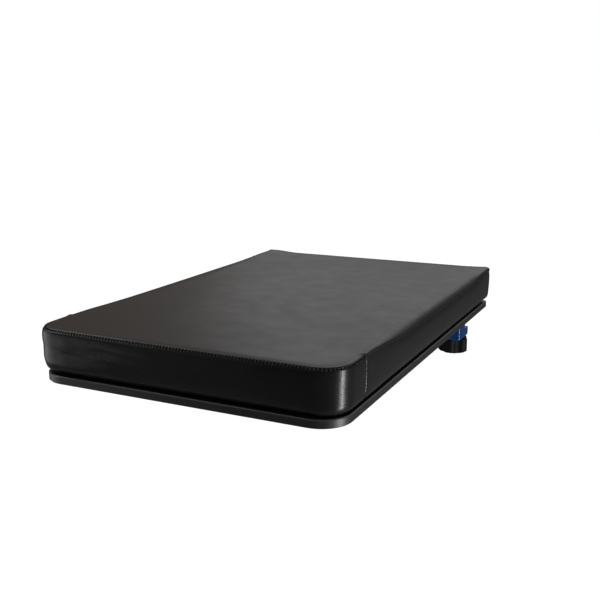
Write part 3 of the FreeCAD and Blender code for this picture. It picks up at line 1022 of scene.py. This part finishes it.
def cut_panel(name, faces, material, levels, wall):
    """Closed panel: the listed faces, made finer, with the sheet's thickness on the inside."""
    used = sorted({i for face in faces for i in face})
    renumber = {old: new for new, old in enumerate(used)}
    piece = bare_mesh(name, cover_points[used], [[renumber[i] for i in face] for face in faces])
    piece.data.materials.append(material)
    if levels:
        finer = piece.modifiers.new("finer", "SUBSURF")
        finer.levels = levels
        finer.render_levels = levels
    thick = piece.modifiers.new("sheet", "SOLIDIFY")
    thick.thickness = wall
    thick.offset = -1.0
    depsgraph = bpy.context.evaluated_depsgraph_get()
    final = bpy.data.meshes.new_from_object(piece.evaluated_get(depsgraph))
    piece.modifiers.clear()
    piece.data = final
    final.polygons.foreach_set("use_smooth", [True] * len(final.polygons))
    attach(piece, "pad")
    return piece


def in_front_band(column):
    """Columns between the two vertical seams, round the front."""
    return column < min(vertical_seams) or column >= max(vertical_seams)


def in_window(ring, column):
    beside = (column + 1) % column_count
    spots = walls[[ring, ring + 1, ring, ring + 1], [column, column, beside, beside]]
    inside = np.abs(spots[:, 0]).max() <= zip_high.x + 1e-5 and spots[:, 1].min() > rear_edge - 0.003
    low, high = window_levels
    return inside and spots[:, 2].min() > low - 1e-4 and spots[:, 2].max() < high + 1e-4


sheet_wall = 0.0012
band_rings = range(low_seam_ring, top_seam_ring)
panels = {
    "cover_top_panel": top_faces + [
        wall_faces[r, c] for r in range(top_seam_ring, ring_count - 1) for c in range(column_count)],
    "cover_bottom_panel": under_faces + [
        wall_faces[r, c] for r in range(low_seam_ring) for c in range(column_count)],
    "cover_front_band": [
        wall_faces[r, c] for r in band_rings for c in range(column_count) if in_front_band(c)],
    "cover_side_band": [
        wall_faces[r, c] for r in band_rings for c in range(column_count)
        if not in_front_band(c) and not in_window(r, c)],
}
for node, faces in panels.items():
    finer = 1 if node.endswith("band") else 0
    panel = cut_panel(node.replace("cover_", "sewn_"), faces, vinyl, finer, sheet_wall)
    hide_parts(node)
bpy.data.objects.remove(form)


# Stitching: black polyester thread along every seam, 4 mm to the stitch, each stitch a short
# capsule half sunk between the needle holes. Between them the vinyl stands up in small pleats at
# the front, and bar tacks lock the tops of the vertical seams.

stitch_pitch = 0.0041
stitch_length = 0.0023
thread_radius = 0.00030
stitch_sides = 6
needle_reach = 0.0006
pleat_size = (1.5, 3.0, 3.0)
pleat_lift = 1.2
pleat_skew = 6.0
tack_pitch = 0.0005
tack_lift = 0.5
tack_skew = 2.5


def capsule():
    """Stitch along X: a six-sided capsule, thickest in the middle."""
    stations = ((-0.5, 0.25), (-0.42, 0.75), (-0.15, 1.0), (0.15, 1.0), (0.42, 0.75), (0.5, 0.25))
    points = []
    for along, share in stations:
        ring = ring_points(share * thread_radius, along * stitch_length, stitch_sides)
        points += [(z, x, y) for x, y, z in ring]
    faces = [face[::-1] for face in tube_faces(len(stations), stitch_sides)]
    faces.append(list(range(stitch_sides)))
    faces.append(list(range(len(points) - stitch_sides, len(points)))[::-1])
    return np.array(points), faces


def along_path(at, lengths, values):
    return np.array([np.interp(at, lengths, values[:, k]) for k in range(3)])


def unit(way):
    return way / np.linalg.norm(way)


def stitch_frames(path, outward, pitch, sink=0.3, skew=0.12):
    """Turns and places of stitches at even steps along a path of points."""
    steps = np.linalg.norm(np.diff(path, axis=0), axis=1)
    lengths = np.concatenate([[0], np.cumsum(steps)])
    frames = []
    for i in range(int(lengths[-1] / pitch)):
        at = (i + 0.5) * pitch
        ahead = along_path(at + needle_reach, lengths, path)
        behind = along_path(at - needle_reach, lengths, path)
        way = unit(ahead - behind)
        out = along_path(at, lengths, outward)
        out = unit(out - way * out.dot(way))
        way = unit(way + np.cross(out, way) * skew)
        turn = np.column_stack([way, np.cross(out, way), out])
        frames.append((turn, along_path(at, lengths, path) - out * thread_radius * sink))
    return frames


def thread_finish():
    material, wire, sockets = finish("thread_polyester", Specular_IOR_Level=0.05)
    twist = wire.node(
        "TexWave", {"wave_type": "BANDS", "bands_direction": "DIAGONAL"},
        {"Vector": place(wire), "Scale": 1400.0}, out="Fac",
    )
    lead(blend(wire, twist, grey(0.010, 1.1), grey(0.026, 1.038)), sockets["Base Color"])
    lead(step(wire, twist, 0.0, 1.0, 0.48, 0.62), sockets["Roughness"])
    return material


thread = thread_finish()
cover_grid = cover_points[:under_start].reshape(ring_count, column_count, 3)
normal_grid = form_normals[:under_start].reshape(ring_count, column_count, 3)


def ring_path(ring, near, share):
    """Closed path between two rings, and the outward ways along it."""
    path = cover_grid[ring] * (1 - share) + cover_grid[near] * share
    ways = normal_grid[ring] * (1 - share) + normal_grid[near] * share
    return np.concatenate([path, path[:1]]), np.concatenate([ways, ways[:1]])


def add_stitches(name, frames, cloth=thread):
    points, faces = join_copies(*capsule(), frames)
    add_mesh(name, points, faces, cloth, "pad", "pad_cover")


top_run = stitch_frames(*ring_path(top_seam_ring + 1, top_seam_ring + 2, 0.35), stitch_pitch)
add_stitches("top_seam_stitches", top_run)
crest = ring_path(top_seam_ring, top_seam_ring - 1, 0.5)
pleats = stitch_frames(*crest, stitch_pitch, -pleat_lift, pleat_skew)
pleats = [(turn * np.array(pleat_size), spot) for turn, spot in pleats if spot[1] < band_seam]
add_stitches("top_seam_pleats", pleats, vinyl)
low_run = stitch_frames(*ring_path(low_seam_ring - 1, low_seam_ring - 2, 0.5), stitch_pitch)
add_stitches("bottom_seam_stitches", low_run)
upright_runs = []
for column in vertical_seams:
    beside = column + (-2 if columns[column][0] == right_side else 2)
    rings = slice(low_seam_ring + 1, top_seam_ring)
    upright_runs += stitch_frames(cover_grid[rings, beside], normal_grid[rings, beside], stitch_pitch)
    rings = slice(top_seam_ring - 1, top_seam_ring + 2)
    knot = cover_grid[rings, column], normal_grid[rings, column]
    upright_runs += stitch_frames(*knot, tack_pitch, -tack_lift, tack_skew)
add_stitches("band_seam_stitches", upright_runs)


# Zip in the rear band: woven tape behind the window, two rows of moulded teeth that mesh in the
# middle, and a cast slider whose pull hangs down.

tooth_pitch = 0.0030
tooth_share = 0.72
tooth_reach = 0.62
cord_half = 0.0004
cord_share = 0.6
dress("zip_tape", weave_finish("zip_tape_twill", grey(0.016, 1.125), 1800.0, 0.0002))


def tooth_shape(length, height, depth):
    """Tooth along Z: a shank that swells to a rounded head, lying on the tape."""
    outline = [(-0.32, 0.0), (0.32, 0.0), (0.30, 0.45), (0.46, 0.62), (0.44, 0.90), (0.22, 1.0),
               (-0.22, 1.0), (-0.44, 0.90), (-0.46, 0.62), (-0.30, 0.45)]
    points = []
    for y, shrink in ((0.0, 1.0), (0.75, 1.0), (1.0, 0.82)):
        points += [(x * length * shrink, y * depth, (z - 0.5) * height * shrink) for x, z in outline]
    sides = len(outline)
    faces = tube_faces(3, sides) + [list(range(sides))[::-1], list(range(2 * sides, 3 * sides))]
    return np.array(points), [face[::-1] for face in faces]


def make_chain():
    """Two rows of teeth that point at each other, each on its cord."""
    low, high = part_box("zip_chain")
    level = (low.z + high.z) / 2
    half = (high.z - low.z) / 2
    depth = high.y - low.y
    height = 2 * half * tooth_reach
    frames = []
    for i in range(int((high.x - low.x) / tooth_pitch)):
        for row in (-1, 1):
            x = low.x + tooth_pitch * (i + 0.5 + 0.25 * row)
            spot = (x, low.y, level + row * (half - height / 2))
            frames.append((np.diag([row, 1.0, -row]), spot))
    points, faces = join_copies(*tooth_shape(tooth_pitch * tooth_share, height, depth), frames)
    for row in (-1, 1):
        core = level + row * (half - cord_half)
        cord_low = (low.x, low.y, core - cord_half)
        add_slab(points, faces, cord_low, (high.x, low.y + depth * cord_share, core + cord_half))
    return points, faces


def window_stitches():
    """Stitches above and below the zip's window."""
    runs = []
    first = first_wall_ring + len(below_window)
    last = first_wall_ring + len(wall_levels) - 1
    for level, beyond in ((first, first - 1), (last, last + 1)):
        columns_used = [
            c for c in range(column_count)
            if walls[level][c][1] > rear_edge - 0.001 and abs(walls[level][c][0]) <= zip_high.x + 0.002]
        path = cover_grid[level, columns_used] * 0.3 + cover_grid[beyond, columns_used] * 0.7
        runs += stitch_frames(path, normal_grid[level, columns_used], stitch_pitch)
    return runs


teeth_material = moulded_finish("zip_teeth", grey(0.016, 1.0625), 0.38)
chain = add_mesh("zip_teeth", *make_chain(), teeth_material, "pad", "zip_plastic", smooth=False)
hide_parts("zip_chain")
dress("zip_slider", turned_finish("zip_slider_metal", grey(0.16, 1.031), 0.30))
add_stitches("zip_seam_stitches", window_stitches())


# Setting: a pale floor far below the table, which hangs from its clamps, and a bright surround.
# Gloss shows a softer room: a lit back wall over a dark foot, a pale ceiling, warm at the left.

floor_level = -0.90
floor_reach = 30.0
floor_glow = 1.62
glow_share = 0.62
back_wall = Vector((-0.12, 0.93, 0.34)).normalized()
room_light = 0.36
warm_tint = (1.0, 0.80, 0.68, 1.0)


def make_floor():
    material = bpy.data.materials.new("floor_pale")
    material.use_nodes = True
    tree = material.node_tree
    tree.nodes.clear()
    wire = Wire(tree)
    matt = wire.node("BsdfDiffuse", (), {"Color": grey(0.25)})
    glow = wire.node("Emission", (), {"Color": grey(1.0), "Strength": floor_glow})
    seen = wire.node("LightPath", out="Is Camera Ray")
    mixed = wire.node("MixShader", (), {0: seen * glow_share, 1: matt, 2: glow})
    output = tree.nodes.new("ShaderNodeOutputMaterial")
    lead(mixed, output.inputs["Surface"])
    corners = ((-1, -1), (1, -1), (1, 1), (-1, 1))
    spots = [(x * floor_reach, y * floor_reach, floor_level) for x, y in corners]
    mesh = bpy.data.meshes.new("floor")
    mesh.from_pydata(spots, [], [[0, 1, 2, 3]])
    mesh.materials.append(material)
    floor = bpy.data.objects.new("floor", mesh)
    bpy.context.scene.collection.objects.link(floor)


def make_world():
    world = bpy.data.worlds.new("surround")
    world.use_nodes = True
    bpy.context.scene.world = world
    tree = world.node_tree
    tree.nodes.clear()
    wire = Wire(tree)
    way = wire.node("TexCoord", out="Generated")
    towards = wire.node("VectorMath", {"operation": "DOT_PRODUCT"}, {0: way, 1: back_wall}, out="Value")
    across = wire.node("SeparateXYZ", (), {0: way}, out="X")
    level = wire.node("SeparateXYZ", (), {0: way}, out="Z")
    wall = step(wire, towards, 0.3, 0.98, 0.04, 0.26) * step(wire, level, 0.02, 0.17, 0.15, 1.0)
    ceiling = step(wire, level, 0.22, 0.60, 0.0, 0.22)
    camera = wire.node("LightPath", out="Is Camera Ray")
    through = wire.node("LightPath", out="Is Transmission Ray")
    glossy = wire.node("LightPath", out="Is Glossy Ray")
    shown = wire.maths("MAXIMUM", camera, through)
    lit = wire.maths("MAXIMUM", (wall + ceiling) * glossy, (1.0 - glossy) * room_light)
    strength = wire.maths("MAXIMUM", shown, lit)
    warmth = step(wire, across, -0.64, -0.42, 1.0, 0.0) * glossy
    tint = blend(wire, warmth, grey(1.0), warm_tint)
    light = wire.node("Background", (), {"Color": tint, "Strength": strength})
    output = tree.nodes.new("ShaderNodeOutputWorld")
    lead(light, output.inputs["Surface"])


def add_lamp(name, spot, target, size, power):
    """Rectangular lamp that the camera doesn't see, turned towards its target."""
    data = bpy.data.lights.new(name, "AREA")
    data.shape = "RECTANGLE"
    data.size, data.size_y = size
    data.energy = power
    lamp = bpy.data.objects.new(name, data)
    bpy.context.scene.collection.objects.link(lamp)
    way = Vector(target) - Vector(spot)
    lamp.rotation_euler = way.to_track_quat("-Z", "Y").to_euler()
    lamp.location = spot
    lamp.visible_camera = False


make_floor()
make_world()
add_lamp("rear_softbox", spot=(-0.42, 2.29, 1.30), target=(0.0, -0.3, 0.05), size=(2.5, 1.15), power=8.6)
add_lamp("corner_strip", spot=(1.50, -0.56, -0.42), target=(0.19, -0.58, 0.04), size=(0.20, 1.5), power=30.0)
add_lamp("left_softbox", spot=(-1.75, -1.15, -0.1), target=(-0.2, -0.58, 0.04), size=(1.8, 1.0), power=8.5)
add_lamp("overhead_softbox", spot=(-1.5, -0.5, 1.6), target=(0.0, -0.3, 0.0), size=(1.1, 1.1), power=17.0)


# Camera: a 50 mm lens to the right of the free end and a little above it, looking slightly down.
# Its place and ways were worked out from the table's straight edges.

camera_spot = (0.50466, -1.30726, 0.32231)
camera_right = (0.89826, 0.43943, -0.00543)
camera_forward = (-0.42918, 0.87452, -0.22585)
camera_lens = 50.2


def make_camera():
    sideways = Vector(camera_right).normalized()
    forward = Vector(camera_forward).normalized()
    upward = sideways.cross(forward).normalized()
    turn = Matrix((sideways, upward, -forward)).transposed()
    data = bpy.data.cameras.new("camera")
    data.lens = camera_lens
    data.sensor_width = 36.0
    camera = bpy.data.objects.new("camera", data)
    camera.matrix_world = Matrix.Translation(camera_spot) @ turn.to_4x4()
    bpy.context.scene.collection.objects.link(camera)
    bpy.context.scene.camera = camera


make_camera()
bpy.context.scene.view_settings.view_transform = "Standard"
